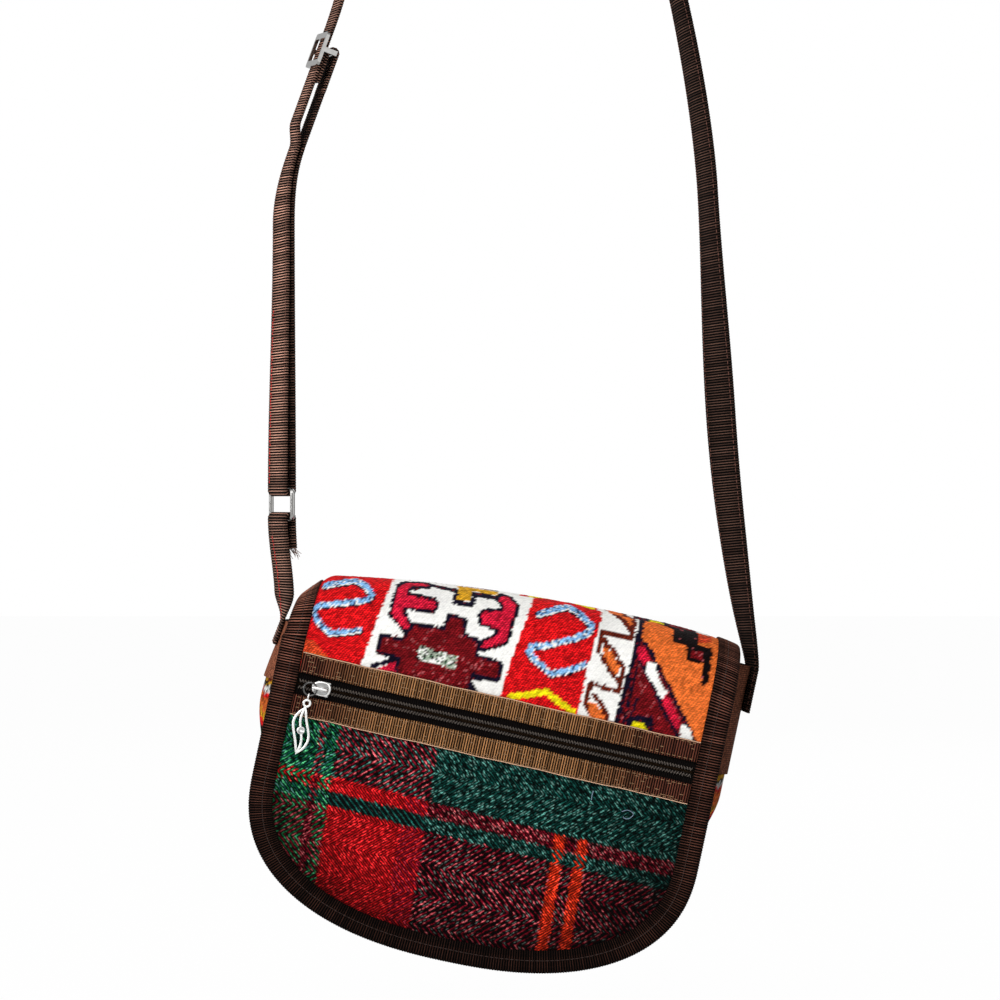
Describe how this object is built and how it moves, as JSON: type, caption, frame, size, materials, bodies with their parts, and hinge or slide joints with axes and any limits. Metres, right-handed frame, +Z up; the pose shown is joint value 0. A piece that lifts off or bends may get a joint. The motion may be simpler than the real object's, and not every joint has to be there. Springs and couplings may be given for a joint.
{
  "type": "crossbody bag",
  "caption": "Small rounded crossbody bag with a kilim and tartan flap, a zip pocket across it, ribbed edge binding and a webbing shoulder strap with a ring and an adjuster.",
  "frame": {"origin": "underside of the strap's crown, where the shoulder carries it", "axes": "+Z up, the flap faces -Y, +X to the right as seen from the front"},
  "size_m": [0.2836, 0.0837, 0.7614],
  "materials": {
    "kilim": "woven wool",
    "tartan": "herringbone wool",
    "ribbed_tape": "ribbed webbing",
    "webbing": "plain webbing",
    "lining": "plain cotton",
    "zip": "nylon coil on woven tape",
    "metal": "bright nickel plating"
  },
  "bodies": {
    "bag": {"kilim_shell": "kilim", "lining": "lining", "tartan_panel": "tartan", "edge_binding": "ribbed_tape", "gusset": "kilim", "front_panel": "lining", "left_facing": "webbing", "right_facing": "webbing", "snap_stud_washer": "metal", "snap_stud": "metal", "snap_socket": "metal", "snap_socket_washer": "metal", "upper_zip_webbing": "webbing", "lower_zip_webbing": "webbing", "zip_upper_half": "zip", "zip_lower_half": "zip", "shoulder_strap": "ribbed_tape", "strap_return": "ribbed_tape", "strap_tab": "ribbed_tape", "rect_ring": "metal"},
    "slider": {"zip_slider": "metal"},
    "ring": {"pull_ring": "metal"},
    "leaf": {"leaf_pull": "metal"},
    "adjuster": {"tri_glide": "metal", "strap_end_loop": "ribbed_tape"}
  },
  "joints": [
    {"name": "zip_slide", "type": "slide", "parent": "bag", "child": "slider", "axis": [0.9751, 0, -0.2215], "range_m": [0, 0.19]},
    {"name": "ring_swing", "type": "hinge", "parent": "slider", "child": "ring", "pos_m": [-0.09695, -0.0408, -0.59767], "axis": [0, 1, 0], "range_deg": [-40, 40]},
    {"name": "leaf_flip", "type": "hinge", "parent": "ring", "child": "leaf", "pos_m": [-0.09942, -0.04515, -0.60224], "axis": [-0.9751, 0, 0.2215], "range_deg": [0, 110]},
    {"name": "adjuster_slide", "type": "slide", "parent": "bag", "child": "adjuster", "axis": [-0.342, 0, -0.9397], "range_m": [0, 0.024], "deforming": ["strap_return"]}
  ]
}
